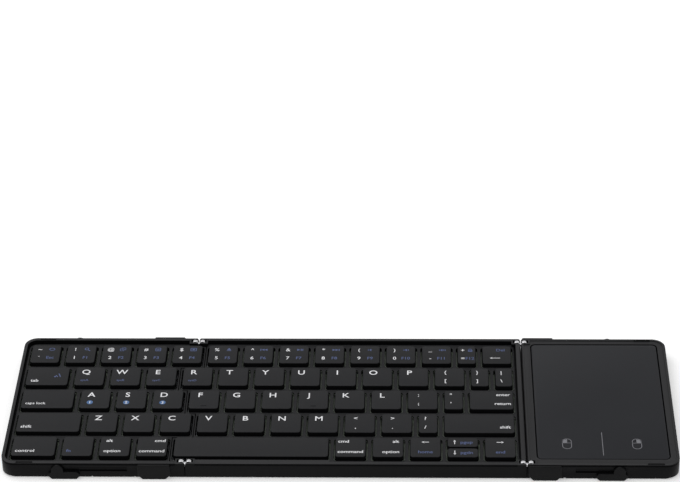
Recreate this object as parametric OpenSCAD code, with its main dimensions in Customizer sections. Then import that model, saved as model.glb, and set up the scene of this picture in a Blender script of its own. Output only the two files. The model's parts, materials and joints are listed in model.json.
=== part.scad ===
/* [Case] */
// Width of the whole keyboard lying open
open_w = 304.5; // [302:0.5:307]
// Depth of the three panels from front wall to back wall
case_d = 97.2; // [96.6:0.1:97.8]
// Height from the cloth underneath to the top of the rim
case_h = 8; // [7.9:0.05:8.1]
// Width of the left panel, from its outer edge to the left fold line
left_w = 83; // [82.8:0.1:83.2]
// Width of the right panel, from its outer edge to the right fold line
right_w = 68.25; // [68:0.05:68.5]
// Radius of the rounded outer corners
corner_r = 6; // [4:0.5:8]
// Thickness of the case walls
wall = 1.2; // [1:0.1:1.4]
// Thickness of the case floors
floor_t = 0.8; // [0.6:0.1:1]
// Height at which the lower shells meet the upper frames
split_z = 5.5; // [5.2:0.1:5.6]
// Width of the raised rim seen from above
rim_w = 1.5; // [1.2:0.1:1.8]

/* [Keys] */
// Width of a standard key
key_w = 14.1; // [13.9:0.05:14.2]
// Depth of a key, front to back
key_d = 14.6; // [14.4:0.1:14.8]
// Gap between two keys of a row
key_gap = 2.75; // [2.7:0.05:2.8]
// Distance from one key row to the next
row_pitch = 17.9; // [17.8:0.05:18]
// Width of the narrow punctuation keys
narrow_w = 8.9; // [8.6:0.1:9]
// Width of the tab and control keys
tab_w = 20.1; // [19.8:0.1:20.4]
// Width of the caps lock key
caps_w = 24.4; // [24.1:0.1:24.7]
// Width of the left shift key
shift_w = 29.4; // [29.1:0.1:29.7]
// Corner radius of a key cap
key_r = 1.4; // [1:0.1:1.8]
// Clearance between a key cap and its opening in the deck
key_clear = 0.65; // [0.5:0.05:0.7]
// Height of a key cap
cap_h = 2.4; // [2.2:0.1:2.6]

/* [Folds] */
// Distance between the two pins of a fold link
pin_gap = 3.5; // [3.4:0.05:3.6]
// Height of the pin axes above the cloth underneath
pin_z = 6.7; // [6.65:0.05:6.75]
// Diameter of a hinge pin
pin_d = 1.2; // [1:0.1:1.4]
// Radius of the round ends of a fold link
link_r = 1.5; // [1.3:0.05:1.5]
// Thickness of a fold link, front to back
link_t = 1.6; // [1.4:0.1:1.6]
// Radius of the rounded panel edges round the pins
barrel_r = 1.6; // [1.5:0.05:1.6]

/* [Cover] */
// Thickness of the cloth-covered boards
board_t = 0.8; // [0.7:0.05:0.8]
// How far past the fold line the left spine is creased
left_crease = 7.35; // [7.3:0.05:7.6]
// How far past the fold line the right spine is creased
right_crease = 1.5; // [1.2:0.05:1.6]
// Width of the narrow board next to the left spine
strip_w = 19; // [17:0.5:20]
// How far the flaps stay short of the outer edges
flap_margin = 1.75; // [1.5:0.25:3]
// How far the end caps and tabs stand proud of the case walls
proud = 1.3; // [1.1:0.05:1.4]
// Height of the end caps of the spines
ear_h = 7.8; // [6.8:0.1:7.8]

/* [Touchpad] */
// Width of the touchpad
pad_w = 59; // [57:0.5:59]
// Depth of the touchpad
pad_d = 87.8; // [86:0.2:88.4]
// Touchpad centre behind the middle of the case
pad_y = 0.4; // [0:0.1:1]

/* [Hidden] */

$fn = 48;
half_w = open_w / 2;
half_d = case_d / 2;
left_fold = -half_w + left_w;
right_fold = half_w - right_w;
lift = 0.05;                            // gap between a board and the case above it
base_z = board_t + lift;                // underside of the cases
floor_z = base_z + floor_t;
total_d = case_d + 2 * proud;

// Keys
keys_left = -half_w + 3.85;
keys_right = right_fold - 4.65;
keys_span = keys_right - keys_left;
front_row_y = -35.95;
seam_back = 1.25;                       // from the back row to the seam behind it
seam_front = 1.4;                       // from the front row to the seam before it
function row_y(k) = front_row_y + (5 - k) * row_pitch;
function seam_y(k) = k == 0 ? row_y(1) + key_d / 2 + seam_back
                   : k == 5 ? row_y(5) - key_d / 2 - seam_front
                   : (row_y(k) + row_y(k + 1)) / 2;
function sum(v, n) = n <= 0 ? 0 : v[n - 1] + sum(v, n - 1);
function fill(v) = keys_span - sum(v, len(v)) - len(v) * key_gap;
function standard(n) = [for (i = [1:n]) key_w];
function closed(v) = concat(v, [fill(v)]);
row_1 = closed(concat(standard(12), [narrow_w]));
row_2 = closed(concat([tab_w], standard(11), [narrow_w - 0.3]));
row_3 = closed(concat([caps_w], standard(10), [narrow_w]));
row_4 = closed(concat([shift_w], standard(9), [narrow_w]));
row_5_ends = concat([tab_w], standard(8));
row_5 = concat([tab_w], standard(3), [fill(row_5_ends)], standard(5));
rows = [[], row_1, row_2, row_3, row_4, row_5];
left_count = [0, 5, 4, 4, 4, 4];        // keys of each row that sit on the left panel
function key_x(k, i) = keys_left + sum(rows[k], i) + i * key_gap;
cap_top = case_h;
cap_z = cap_top - cap_h;
cap_wall = 0.9;
cap_roof = 1;
arrow_split = 0.6;                      // gap between the stacked up and down keys
arrow_row = 5;
arrow_i = 8;

// Layers under the keys
deck_z = 5.6;
deck_t = 0.6;
line_w = 0.9;                           // width and depth of the line along the foot of the rims
line_t = 0.35;
plate_z = 3.2;
plate_t = 0.3;
membrane_z = plate_z + plate_t;
membrane_t = 0.25;
works_z = membrane_z + membrane_t;
dome_top = 5.9;
post_r = 1.2;
screw_r = 0.5;
head_r = 1.2;
head_t = 0.5;
screw_l = 4.2;
plate_gap = 0.3;                        // gap between the key plate and the walls round it
film_gap = 0.6;                         // the same gap of the membrane
left_inset = 0.5;                       // further gap of both on the left panel
plate_end = 3.5;                        // their right ends, measured from the right fold
dome_r = 1.7;
arm_l = 9;                              // length of a scissor arm
short_arm_l = 5;
arm_rise = 2.5;
arm_w = [6.2, 4.8];                     // widths of the outer and the inner arm
arm_t = 0.4;
arm_rail = 0.6;
stem_r = 1;

// Fold lines: where the two panels end in each band, 0 at the back rim to 6 at the front rim
split_gap = 0.4;
function web_x(k) = key_x(k, left_count[k]) - key_gap / 2;
function split_x(k) = (k == 0 || k == 6) ? left_fold : web_x(k);
function band_hi(k) = k == 0 ? half_d : seam_y(k - 1);
function band_lo(k) = k == 6 ? -half_d : seam_y(k);
rim_gap = pin_gap / 2 - barrel_r;       // half of the gap between the panels at the pins
function left_edge(k) = split_x(k) - ((k == 0 || k == 6) ? rim_gap : split_gap / 2);
function centre_edge(k) = split_x(k) + ((k == 0 || k == 6) ? rim_gap : split_gap / 2);
web = 0.5;                              // walls along the stepped edges
overhang_lift = 1.2;                    // keeps the left panel's overhangs off the cover

// Hinge places: the link is centred in the front and back rims
link_y = half_d - 2.2;
pin_out = link_y + 1.7;                 // outer and inner ends of the pins
pin_in = link_y - 1.3;
block_w = 4.2;                          // length of the solid blocks that hold the pins
bore_d = pin_d + 0.05;
pocket_r = link_r + 0.35;
pocket_t = link_t + 0.6;

// Cover: creases run along the inner faces of the boards
fold_h = 2 * pin_z + pin_gap;           // height of the folded stack
spine_w = fold_h - 2 * board_t;
left_a = left_fold - left_crease;
left_b = left_a - spine_w;
right_a = right_fold + right_crease;
right_b = right_a + spine_w;
board_gap = 0.25;                       // half of the gap between two boards at a crease
board_d = case_d - 0.8;
ear_t = proud - 0.1;
ear_over = 0.75;                        // how far an end cap reaches over its crease
ear_short = 1.4;                        // how far it ends short of the outer crease
ear_cut = 2.2;                          // chamfer of its lower corners
tab_l = 13.8;
tab_h = 3.8;
tab_cut = 1.4;                          // chamfer of the lower corners of a tab
knob_d = 2.2;
knob_z = 4.8;
knob_rim = 2.7;                         // radius of the round part of the tab at the knob
left_tab = -half_w + 21.7;
left_knob = left_tab + 4;
right_tab = half_w - 23.4 - tab_l;
right_knob = right_tab + tab_l - 3.6;
left_slide = 2 * left_crease + spine_w; // way that the left flap slides as the panel folds
right_slide = 2 * right_crease + spine_w;
groove_t = 0.8;
knob_l = groove_t + 0.05;               // length of a knob from the inner face of its tab

// Rims: the shells' outer walls rise round the frames to a fine line below the top
lap_w = 0.7;
lap_z = 7;
rim_seam = 0.2;                         // height of the line between shell and frame
rim_y = half_d - rim_w - 0.3;           // inner side of the front and back rims
rim_x = right_fold - 2.5;               // inner side of the centre panel's right rim
lip_y = -half_d + 3.2;                  // back edge of the wide part of the front rim
lip_x = -4.4;                           // right end of the wide part of the front rim
lip_z = 7.9;

// Rubber strips in the rim
bumper_l = 7.5;
bumper_w = 1;
bumper_proud = 0.3;
bumper_h = 0.9;
function bumper_x(s) = s * (half_w - corner_r - bumper_l / 2 - 1);

// Touchpad panel
bezel_z = 7.7;
bezel_t = 0.8;
pad_x = right_fold + 4.9 + pad_w / 2;
pad_z = 6.6;
pad_t = 1;
pad_gap = 0.5;
pad_board_t = 0.8;
port_x = half_w - 15.5;
port_w = 9;
port_h = 3.2;
port_l = 7;
port_z = floor_z + 0.1;

module box(x0, x1, y0, y1, z0, z1) {
    translate([x0, y0, z0]) cube([x1 - x0, y1 - y0, z1 - z0]);
}

// Rectangle with round corners, lower left corner at x0, y0
module round_rect(x0, y0, w, d, r) {
    translate([x0 + r, y0]) square([w - 2 * r, d]);
    translate([x0, y0 + r]) square([w, d - 2 * r]);
    for (x = [x0 + r, x0 + w - r], y = [y0 + r, y0 + d - r]) translate([x, y]) circle(r);
}

// Half plate with two round corners on the side of sign s, straight at x = inner
module outer_plate(inner, outer, r, half) {
    s = sign(outer - inner);
    x0 = min(inner, outer);
    w = abs(outer - inner);
    translate([s > 0 ? x0 : x0 + r, -half]) square([w - r, 2 * half]);
    translate([x0, -half + r]) square([w, 2 * half - 2 * r]);
    for (y = [-half + r, half - r]) translate([outer - s * r, y]) circle(r);
}

// Stepped edge of the centre panel, pulled in by i, out to x = far
module centre_outline(i, far) {
    for (k = [0:6]) {
        lo = band_lo(k) + (k == 6 ? i : split_gap / 2 + i);
        hi = band_hi(k) - (k == 0 ? i : split_gap / 2 + i);
        translate([centre_edge(k) + i, lo]) square([far - centre_edge(k) - i, hi - lo]);
    }
    for (k = [0:5]) {
        x = max(centre_edge(k), centre_edge(k + 1)) + i;
        y = band_lo(k) - split_gap / 2 - i;
        translate([x, y]) square([far - x, split_gap + 2 * i]);
    }
}

// Stepped edge of the left panel, pulled in by i, back to x = far
module left_steps(i, far) {
    for (k = [0:6]) {
        lo = band_lo(k) + (k == 6 ? i : split_gap / 2 + i);
        hi = band_hi(k) - (k == 0 ? i : split_gap / 2 + i);
        translate([far, lo]) square([left_edge(k) - i - far, hi - lo]);
    }
    for (k = [0:5]) {
        x = min(left_edge(k), left_edge(k + 1)) - i;
        y = band_lo(k) - split_gap / 2 - i;
        translate([far, y]) square([x - far, split_gap + 2 * i]);
    }
}

module left_outline(i) {
    left_steps(i, left_fold - 20);
    outer_plate(left_fold - 19, -half_w + i, max(corner_r - i, 0.5), half_d - i);
}

module centre_area(i) {
    centre_outline(i, right_fold - rim_gap - i);
}

// Space inside the rims of the frames, pulled in by i
module left_rim_inside(i = 0) {
    outer_plate(left_fold + 10, -half_w + rim_w + i, corner_r - rim_w - i, rim_y - i);
}

module centre_rim_inside(i = 0) {
    translate([-half_w, -rim_y + i]) square([half_w + rim_x - i, 2 * (rim_y - i)]);
}

// Space inside the outer walls of the shells
module left_lap_inside() {
    outer_plate(left_fold + 10, -half_w + lap_w, corner_r - lap_w, half_d - lap_w);
}

module centre_lap_inside() {
    translate([-half_w, -half_d + lap_w])
        square([half_w + right_fold - rim_gap - lap_w, case_d - 2 * lap_w]);
}

module right_area(i) {
    outer_plate(right_fold + rim_gap + i, half_w - i, max(corner_r - i, 0.5), half_d - i);
}

// Rounds the top edge of a panel round a pin axis at x, on the side of sign s
module edge_round(x, s, y0, y1) {
    translate([x, y1, pin_z]) rotate([90, 0, 0]) linear_extrude(y1 - y0) difference() {
        translate([s > 0 ? 0 : -barrel_r - 1, 0]) square([barrel_r + 1, barrel_r + 1]);
        circle(barrel_r);
    }
}

// Room for a fold link in the panel end: round bottom, open to the edge and to the top
module link_pocket(x, s, y) {
    translate([x, y + pocket_t / 2, pin_z]) rotate([90, 0, 0]) linear_extrude(pocket_t) {
        circle(pocket_r);
        translate([-pocket_r, 0]) square([2 * pocket_r, 3]);
        translate([s > 0 ? 0 : -pocket_r - 1, -pocket_r]) square([pocket_r + 1, 3 + pocket_r]);
    }
}

module pin_bore(x, s) {
    translate([x, s * (pin_in - 0.35), pin_z]) rotate([-s * 90, 0, 0])
        cylinder(d = bore_d, h = pin_out - pin_in + 0.37);
}

// Cuts for both hinges of one panel edge; s points from the panel to the fold line
module hinge_cuts(fold, s) {
    x = fold - s * pin_gap / 2;
    edge_round(x, s, -half_d - 1, half_d + 1);
    for (e = [-1, 1]) {
        link_pocket(x, s, e * link_y);
        pin_bore(x, e);
    }
}

// Solid blocks round the pins, from the floor to the top
module hinge_blocks(fold, s) {
    x0 = fold - s * rim_gap;
    x1 = fold - s * (rim_gap + block_w);
    for (y = [[-half_d, seam_y(5) - split_gap / 2], [seam_y(0) + split_gap / 2, half_d]])
        box(min(x0, x1), max(x0, x1), y[0], y[1], base_z, case_h);
}

// Room in an upper frame for the hinge blocks
module hinge_block_space(fold, s) {
    x0 = fold + s * 1;
    x1 = fold - s * (rim_gap + block_w);
    for (y = [[-half_d - 1, seam_y(5) - split_gap / 2], [seam_y(0) + split_gap / 2, half_d + 1]])
        box(min(x0, x1), max(x0, x1), y[0], y[1], 0, case_h + 1);
}

// Groove for a flap knob along a side wall
module knob_groove(x, way) {
    x0 = min(x, x + way) - knob_d / 2 - 0.15;
    x1 = max(x, x + way) + knob_d / 2 + 0.15;
    for (y = [-half_d - 1, half_d - groove_t])
        box(x0, x1, y, y + groove_t + 1, knob_z - knob_d / 2 - 0.1, knob_z + knob_d / 2 + 0.1);
}

// Screw places under the seams between the key rows
left_posts = [for (x = [-half_w + 12, -half_w + 60], k = [1, 4]) [x, seam_y(k)]];
centre_posts = [for (x = [left_fold + 20, 8, right_fold - 14], k = [1, 4]) [x, seam_y(k)]];

module post_bosses(posts) {
    for (p = posts) translate([p[0], p[1], floor_z])
        cylinder(r = post_r + 0.6, h = plate_z - floor_z);
}

module post_holes(posts) {
    for (p = posts) translate([p[0], p[1], 0]) {
        cylinder(r = screw_r + 0.1, h = plate_z + 1);
        cylinder(r = head_r + 0.1, h = base_z + head_t);
    }
}

module plate_holes(posts) {
    for (p = posts) translate([p[0], p[1], plate_z - 1]) cylinder(r = post_r + 0.2, h = 3);
}

module screw_posts(posts) {
    for (p = posts) translate([p[0], p[1], 0]) difference() {
        translate([0, 0, plate_z]) cylinder(r = post_r, h = deck_z - plate_z + 0.1);
        cylinder(r = screw_r + 0.02, h = 5.3);
    }
}

module screws(posts) {
    for (p = posts) translate([p[0], p[1], 0]) {
        translate([0, 0, base_z + 0.02]) cylinder(r = head_r, h = head_t - 0.04);
        translate([0, 0, base_z + 0.1]) cylinder(r = screw_r, h = screw_l);
    }
}

// Deck openings for the keys i0 to i1 of row k
module key_openings(k, i0, i1) {
    for (i = [i0:i1]) translate([0, 0, deck_z - 1]) linear_extrude(4)
        round_rect(key_x(k, i) - key_clear, row_y(k) - key_d / 2 - key_clear,
                   rows[k][i] + 2 * key_clear, key_d + 2 * key_clear, key_r);
}

// One hollow key cap with the stem that pushes the dome
module key_cap(x, y, w, d) {
    difference() {
        translate([0, 0, cap_z]) linear_extrude(cap_h) round_rect(x, y, w, d, key_r);
        translate([0, 0, cap_z - 1]) linear_extrude(cap_h + 1 - cap_roof)
            round_rect(x + cap_wall, y + cap_wall, w - 2 * cap_wall, d - 2 * cap_wall,
                       key_r - 0.6);
    }
    translate([x + w / 2, y + d / 2, dome_top + 0.05])
        cylinder(r = stem_r, h = cap_top - cap_roof - dome_top + 0.15);
}

module caps(k, i0, i1) {
    for (i = [i0:i1]) key_cap(key_x(k, i), row_y(k) - key_d / 2, rows[k][i], key_d);
}

// The places of the domes and scissors: x, y, room front to back
function works(k, i) =
    (k == arrow_row && i == arrow_i)
    ? [for (s = [-1, 1]) [key_x(k, i) + key_w / 2, row_y(k) + s * (key_d + arrow_split) / 4,
                          (key_d - arrow_split) / 2]]
    : rows[k][i] > 60
    ? [for (s = [-1, 0, 1]) [key_x(k, i) + rows[k][i] / 2 + s * 24, row_y(k), key_d]]
    : [[key_x(k, i) + rows[k][i] / 2, row_y(k), key_d]];

module domes(k, i0, i1) {
    for (i = [i0:i1], p = works(k, i)) translate([p[0], p[1], works_z])
        cylinder(r1 = dome_r, r2 = dome_r / 2, h = dome_top - works_z);
}

// One arm of a scissor: a flat frame tilted to the angle a
module arm(w, len, a) {
    rotate([a, 0, 0]) translate([0, 0, -arm_t / 2]) linear_extrude(arm_t) difference() {
        square([w, len], center = true);
        square([w - 2 * arm_rail, len - 2 * arm_rail], center = true);
    }
}

module scissors(k, i0, i1) {
    for (i = [i0:i1], p = works(k, i)) {
        len = p[2] > arm_l ? arm_l : short_arm_l;
        a = asin(arm_rise / len);
        translate([p[0], p[1], (works_z + cap_top - cap_roof) / 2]) {
            arm(arm_w[0], len, a);
            arm(arm_w[1], len, -a);
        }
    }
}

// Lower shell of a key panel, closed below and open above
module centre_base() color("#1c1c1e") {
    difference() {
        union() {
            difference() {
                translate([0, 0, base_z]) linear_extrude(deck_z - base_z) centre_area(0);
                translate([0, 0, floor_z]) linear_extrude(case_h) intersection() {
                    centre_area(web);
                    translate([-half_w, -half_d + wall])
                        square([right_fold - rim_gap - wall + half_w, case_d - 2 * wall]);
                }
                translate([0, 0, split_z]) linear_extrude(case_h) difference() {
                    centre_area(-1);
                    centre_rim_inside();
                }
            }
            translate([0, 0, split_z - 1]) linear_extrude(lap_z - split_z + 1) difference() {
                centre_area(0);
                centre_lap_inside();
            }
            hinge_blocks(left_fold, -1);
            hinge_blocks(right_fold, 1);
            post_bosses(centre_posts);
        }
        hinge_cuts(left_fold, -1);
        hinge_cuts(right_fold, 1);
        post_holes(centre_posts);
        flex_slot(web_x(3));
        flex_slot(right_fold);
    }
}

// Slot in the walls on both sides of a fold for a ribbon cable
module flex_slot(x) {
    box(x - 3, x + 3, row_y(3) - 5.5, row_y(3) + 5.5, 2.2, 2.9);
}

// Upper frame of the centre panel: rim on three sides and the deck between the keys
module centre_frame() color("#2a2a2c") {
    difference() {
        union() {
            difference() {
                translate([0, 0, deck_z]) linear_extrude(deck_t) centre_area(0);
                translate([0, 0, deck_z + deck_t - line_t]) linear_extrude(line_t + 1)
                    difference() {
                        centre_rim_inside();
                        centre_rim_inside(line_w);
                    }
            }
            difference() {
                translate([0, 0, split_z]) linear_extrude(case_h - split_z) centre_area(0);
                translate([0, 0, split_z - 1]) linear_extrude(case_h) centre_rim_inside();
            }
            screw_posts(centre_posts);
            box(left_fold, lip_x, -rim_y - 0.1, lip_y, deck_z, lip_z);
        }
        for (k = [1:5]) key_openings(k, left_count[k], len(rows[k]) - 1);
        linear_extrude(lap_z + rim_seam) difference() {
            centre_area(-1);
            centre_lap_inside();
        }
        hinge_block_space(left_fold, -1);
        hinge_block_space(right_fold, 1);
        edge_round(right_fold - pin_gap / 2, 1, -half_d - 1, half_d + 1);
    }
}

module centre_key_plate() color("#8d9094") {
    difference() {
        translate([0, 0, plate_z]) linear_extrude(plate_t) intersection() {
            centre_area(web + plate_gap);
            translate([-half_w, seam_y(5)])
                square([half_w + right_fold - plate_end, seam_y(0) - seam_y(5)]);
        }
        plate_holes(centre_posts);
    }
}

module centre_membrane() color("#6f7b6a") {
    difference() {
        translate([0, 0, membrane_z]) linear_extrude(membrane_t) intersection() {
            centre_area(web + film_gap);
            translate([-half_w, seam_y(5) + plate_gap])
                square([half_w + right_fold - plate_end - 0.5,
                        seam_y(0) - seam_y(5) - 2 * plate_gap]);
        }
        plate_holes(centre_posts);
    }
}

module centre_domes() color("#d8d8d4")
    for (k = [1:5]) domes(k, left_count[k], len(rows[k]) - 1);

module centre_scissors() color("#e4e4e0")
    for (k = [1:5]) scissors(k, left_count[k], len(rows[k]) - 1);

module centre_screws() color("#7a7a7c") screws(centre_posts);

// Fixed cloth-covered board under the centre panel
module centre_cover() color("#232427") {
    box(left_a + board_gap, right_a - board_gap, -board_d / 2, board_d / 2, 0, board_t);
}

module left_base() color("#1c1c1e") {
    difference() {
        union() {
            difference() {
                translate([0, 0, base_z]) linear_extrude(deck_z - base_z) left_outline(0);
                translate([0, 0, floor_z]) linear_extrude(case_h) intersection() {
                    left_outline(web);
                    translate([-half_w + wall, -half_d + wall])
                        square([left_w - wall - web, case_d - 2 * wall]);
                }
                translate([0, 0, floor_z + overhang_lift]) linear_extrude(case_h)
                    intersection() {
                        left_outline(web);
                        translate([left_fold - web - 1, -half_d + wall])
                            square([10, case_d - 2 * wall]);
                    }
                box(left_fold, left_fold + 10, -half_d + 1, half_d - 1, 0,
                    base_z + overhang_lift);
                translate([0, 0, split_z]) linear_extrude(case_h) difference() {
                    left_outline(-1);
                    left_rim_inside();
                }
            }
            translate([0, 0, split_z - 1]) linear_extrude(lap_z - split_z + 1) difference() {
                left_outline(0);
                left_lap_inside();
            }
            hinge_blocks(left_fold, 1);
            post_bosses(left_posts);
        }
        hinge_cuts(left_fold, 1);
        post_holes(left_posts);
        flex_slot(web_x(3));
        knob_groove(left_knob, left_slide);
    }
}

module left_frame() color("#2a2a2c") {
    difference() {
        union() {
            difference() {
                translate([0, 0, deck_z]) linear_extrude(deck_t) left_outline(0);
                translate([0, 0, deck_z + deck_t - line_t]) linear_extrude(line_t + 1)
                    difference() {
                        left_rim_inside();
                        left_rim_inside(line_w);
                    }
            }
            difference() {
                translate([0, 0, split_z]) linear_extrude(case_h - split_z) left_outline(0);
                translate([0, 0, split_z - 1]) linear_extrude(case_h) left_rim_inside();
            }
            screw_posts(left_posts);
        }
        for (k = [1:5]) key_openings(k, 0, left_count[k] - 1);
        linear_extrude(lap_z + rim_seam) difference() {
            left_outline(-1);
            left_lap_inside();
        }
        hinge_block_space(left_fold, 1);
        bumper_slots(-1);
    }
}

module left_key_plate() color("#8d9094") {
    difference() {
        translate([0, 0, plate_z]) linear_extrude(plate_t) intersection() {
            left_outline(web + plate_gap + left_inset);
            translate([-half_w, seam_y(5)]) square([left_w + 10, seam_y(0) - seam_y(5)]);
        }
        plate_holes(left_posts);
    }
}

module left_membrane() color("#6f7b6a") {
    difference() {
        translate([0, 0, membrane_z]) linear_extrude(membrane_t) intersection() {
            left_outline(web + film_gap + left_inset);
            translate([-half_w, seam_y(5) + plate_gap])
                square([left_w + 10, seam_y(0) - seam_y(5) - 2 * plate_gap]);
        }
        plate_holes(left_posts);
    }
}

module left_domes() color("#d8d8d4")
    for (k = [1:5]) domes(k, 0, left_count[k] - 1);

module left_scissors() color("#e4e4e0")
    for (k = [1:5]) scissors(k, 0, left_count[k] - 1);

module left_screws() color("#7a7a7c") screws(left_posts);

// Slots and rubber strips in the rim near the outer corners
module bumper_slots(s) {
    for (y = [-half_d + 0.9, half_d - 0.9])
        translate([bumper_x(s) - bumper_l / 2, y - bumper_w / 2, case_h - bumper_h])
            cube([bumper_l, bumper_w, 2]);
}

module bumpers(s) {
    for (y = [-half_d + 0.9, half_d - 0.9])
        translate([0, 0, case_h - bumper_h]) linear_extrude(bumper_h + bumper_proud)
            translate([bumper_x(s) - bumper_l / 2 + 0.02, y - bumper_w / 2 + 0.02])
                square([bumper_l - 0.04, bumper_w - 0.04]);
}

module left_bumpers() color("#0f0f10") bumpers(-1);

module right_bumpers() color("#0f0f10") bumpers(1);

module right_base() color("#1c1c1e") {
    difference() {
        union() {
            difference() {
                translate([0, 0, base_z]) linear_extrude(lap_z - base_z) right_area(0);
                translate([0, 0, floor_z]) linear_extrude(case_h) right_area(wall);
                translate([0, 0, split_z]) linear_extrude(case_h) right_area(lap_w);
            }
            hinge_blocks(right_fold, -1);
            box(pad_x - 4, pad_x + 4, pad_y - pad_d / 2 + 3, pad_y - pad_d / 2 + 11,
                base_z + 0.1, 4.2);
        }
        hinge_cuts(right_fold, -1);
        flex_slot(right_fold);
        knob_groove(right_knob, -right_slide);
        box(port_x - port_w / 2 - 0.1, port_x + port_w / 2 + 0.1, half_d - wall - 1,
            half_d + 1, port_z, port_z + port_h + 0.1);
    }
}

// Flat bezel round the touchpad, with a low raised rim
module right_frame() color("#2a2a2c") {
    difference() {
        union() {
            translate([0, 0, bezel_z - bezel_t]) linear_extrude(bezel_t) right_area(0);
            difference() {
                translate([0, 0, split_z]) linear_extrude(case_h - split_z) right_area(0);
                translate([0, 0, split_z - 1]) linear_extrude(case_h) right_area(rim_w - 0.3);
            }
        }
        translate([0, 0, split_z - 1]) linear_extrude(5)
            round_rect(pad_x - pad_w / 2 - pad_gap, pad_y - pad_d / 2 - pad_gap,
                       pad_w + 2 * pad_gap, pad_d + 2 * pad_gap, 2 + pad_gap);
        linear_extrude(lap_z + rim_seam) difference() {
            right_area(-1);
            right_area(lap_w);
        }
        hinge_block_space(right_fold, -1);
        edge_round(right_fold + pin_gap / 2, -1, -half_d - 1, half_d + 1);
        bumper_slots(1);
    }
}

module touchpad() color("#2d2e31")
    translate([0, 0, pad_z]) linear_extrude(pad_t)
        round_rect(pad_x - pad_w / 2, pad_y - pad_d / 2, pad_w, pad_d, 2);

// Sensor board glued under the touchpad plate
module touchpad_board() color("#1f5a38")
    box(pad_x - pad_w / 2 + 1, pad_x + pad_w / 2 - 1, pad_y - pad_d / 2 + 1,
        pad_y + pad_d / 2 - 1, pad_z - pad_board_t, pad_z);

module touchpad_switch() color("#c9c9c9") {
    y = pad_y - pad_d / 2 + 7;
    box(pad_x - 2.5, pad_x + 2.5, y - 2.5, y + 2.5, 4.2, 4.8);
    translate([pad_x, y, 4.8]) cylinder(r = 1.2, h = 0.4);
}

module battery() color("#9da3a8") {
    translate([0, 0, floor_z]) linear_extrude(3)
        round_rect(pad_x - 24, -28, 44, 46, 1.5);
}

module main_board() color("#1f5a38") {
    box(pad_x - 27, pad_x + 12, 22, 44, floor_z + 0.2, floor_z + 1);
    box(pad_x - 20, pad_x - 13, 27, 34, floor_z + 1, floor_z + 1.9);
    box(pad_x - 4, pad_x + 1, 30, 35, floor_z + 1, floor_z + 1.8);
    for (x = [-24, -9, 6]) box(pad_x + x, pad_x + x + 2, 38, 39.2, floor_z + 1, floor_z + 1.6);
    for (x = [-24, 9]) translate([pad_x + x, 24, floor_z]) cylinder(r = 1.2, h = 0.2);
}

module charging_port() color("#b9bcc0") {
    y = half_d - 0.3;
    difference() {
        translate([port_x, y, port_z + port_h / 2]) rotate([90, 0, 0]) linear_extrude(port_l)
            translate([-port_w / 2, -port_h / 2]) square([port_w, port_h]);
        translate([port_x, y + 0.5, port_z + port_h / 2]) rotate([90, 0, 0])
            linear_extrude(port_l - 1) round_rect(-port_w / 2 + 0.35, -port_h / 2 + 0.35,
                                                  port_w - 0.7, port_h - 0.7, 1.2);
    }
    translate([port_x - 3.3, y - port_l + 0.4, port_z + port_h / 2 - 0.35])
        cube([6.6, 5.2, 0.7]);
}

// Two-pin links at the front and back ends of a fold
module links(fold) {
    for (y = [-link_y, link_y]) translate([fold, y + link_t / 2, pin_z]) rotate([90, 0, 0])
        linear_extrude(link_t) difference() {
            union() {
                for (s = [-1, 1]) translate([s * pin_gap / 2, 0]) circle(link_r);
                translate([-pin_gap / 2, -1.1]) square([pin_gap, 1.4]);
            }
            for (s = [-1, 1]) translate([s * pin_gap / 2, 0]) circle(d = pin_d + 0.02);
        }
}

module hinge_pins(fold) {
    for (x = [-1, 1], s = [-1, 1])
        translate([fold + x * pin_gap / 2, s * pin_in, pin_z]) rotate([-s * 90, 0, 0])
            cylinder(d = pin_d, h = pin_out - pin_in);
}

module left_links() color("#d9dadc") links(left_fold);

module right_links() color("#d9dadc") links(right_fold);

module left_hinge_pins() color("#c2c4c7") hinge_pins(left_fold);

module right_hinge_pins() color("#c2c4c7") hinge_pins(right_fold);

// Spine board with chamfered end caps that close the ends of the folded stack
module spine(a, b, s) {
    x0 = min(a, b);
    x1 = max(a, b);
    // end caps reach past the crease next to the centre panel
    near = a - s * ear_over;
    far = b - s * ear_short;
    l = min(near, far);
    r = max(near, far);
    box(x0 + board_gap, x1 - board_gap, -board_d / 2, board_d / 2, 0, board_t);
    box(l + ear_cut, r - ear_cut, -total_d / 2, total_d / 2, 0, board_t);
    for (y = [-total_d / 2 + ear_t, total_d / 2]) translate([0, y, 0]) rotate([90, 0, 0])
        linear_extrude(ear_t)
            polygon([[l + ear_cut, 0], [r - ear_cut, 0], [r, ear_cut], [r, ear_h - 0.4],
                     [r - 0.4, ear_h], [l + 0.4, ear_h], [l, ear_h - 0.4], [l, ear_cut]]);
}

module left_spine() color("#232427") spine(left_a, left_b, -1);

module right_spine() color("#232427") spine(right_a, right_b, 1);

// Narrow board between the left spine and the left flap
module left_strip() color("#232427")
    box(left_b - strip_w, left_b - board_gap, -board_d / 2, board_d / 2, 0, board_t);

module flap(inner, outer) {
    linear_extrude(board_t) outer_plate(inner, outer, corner_r - 1, board_d / 2);
}

module left_flap() color("#232427")
    flap(left_b - strip_w - 2 * board_gap, -half_w + flap_margin);

module right_flap() color("#232427")
    flap(right_b + 2 * board_gap, half_w - flap_margin);

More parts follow.
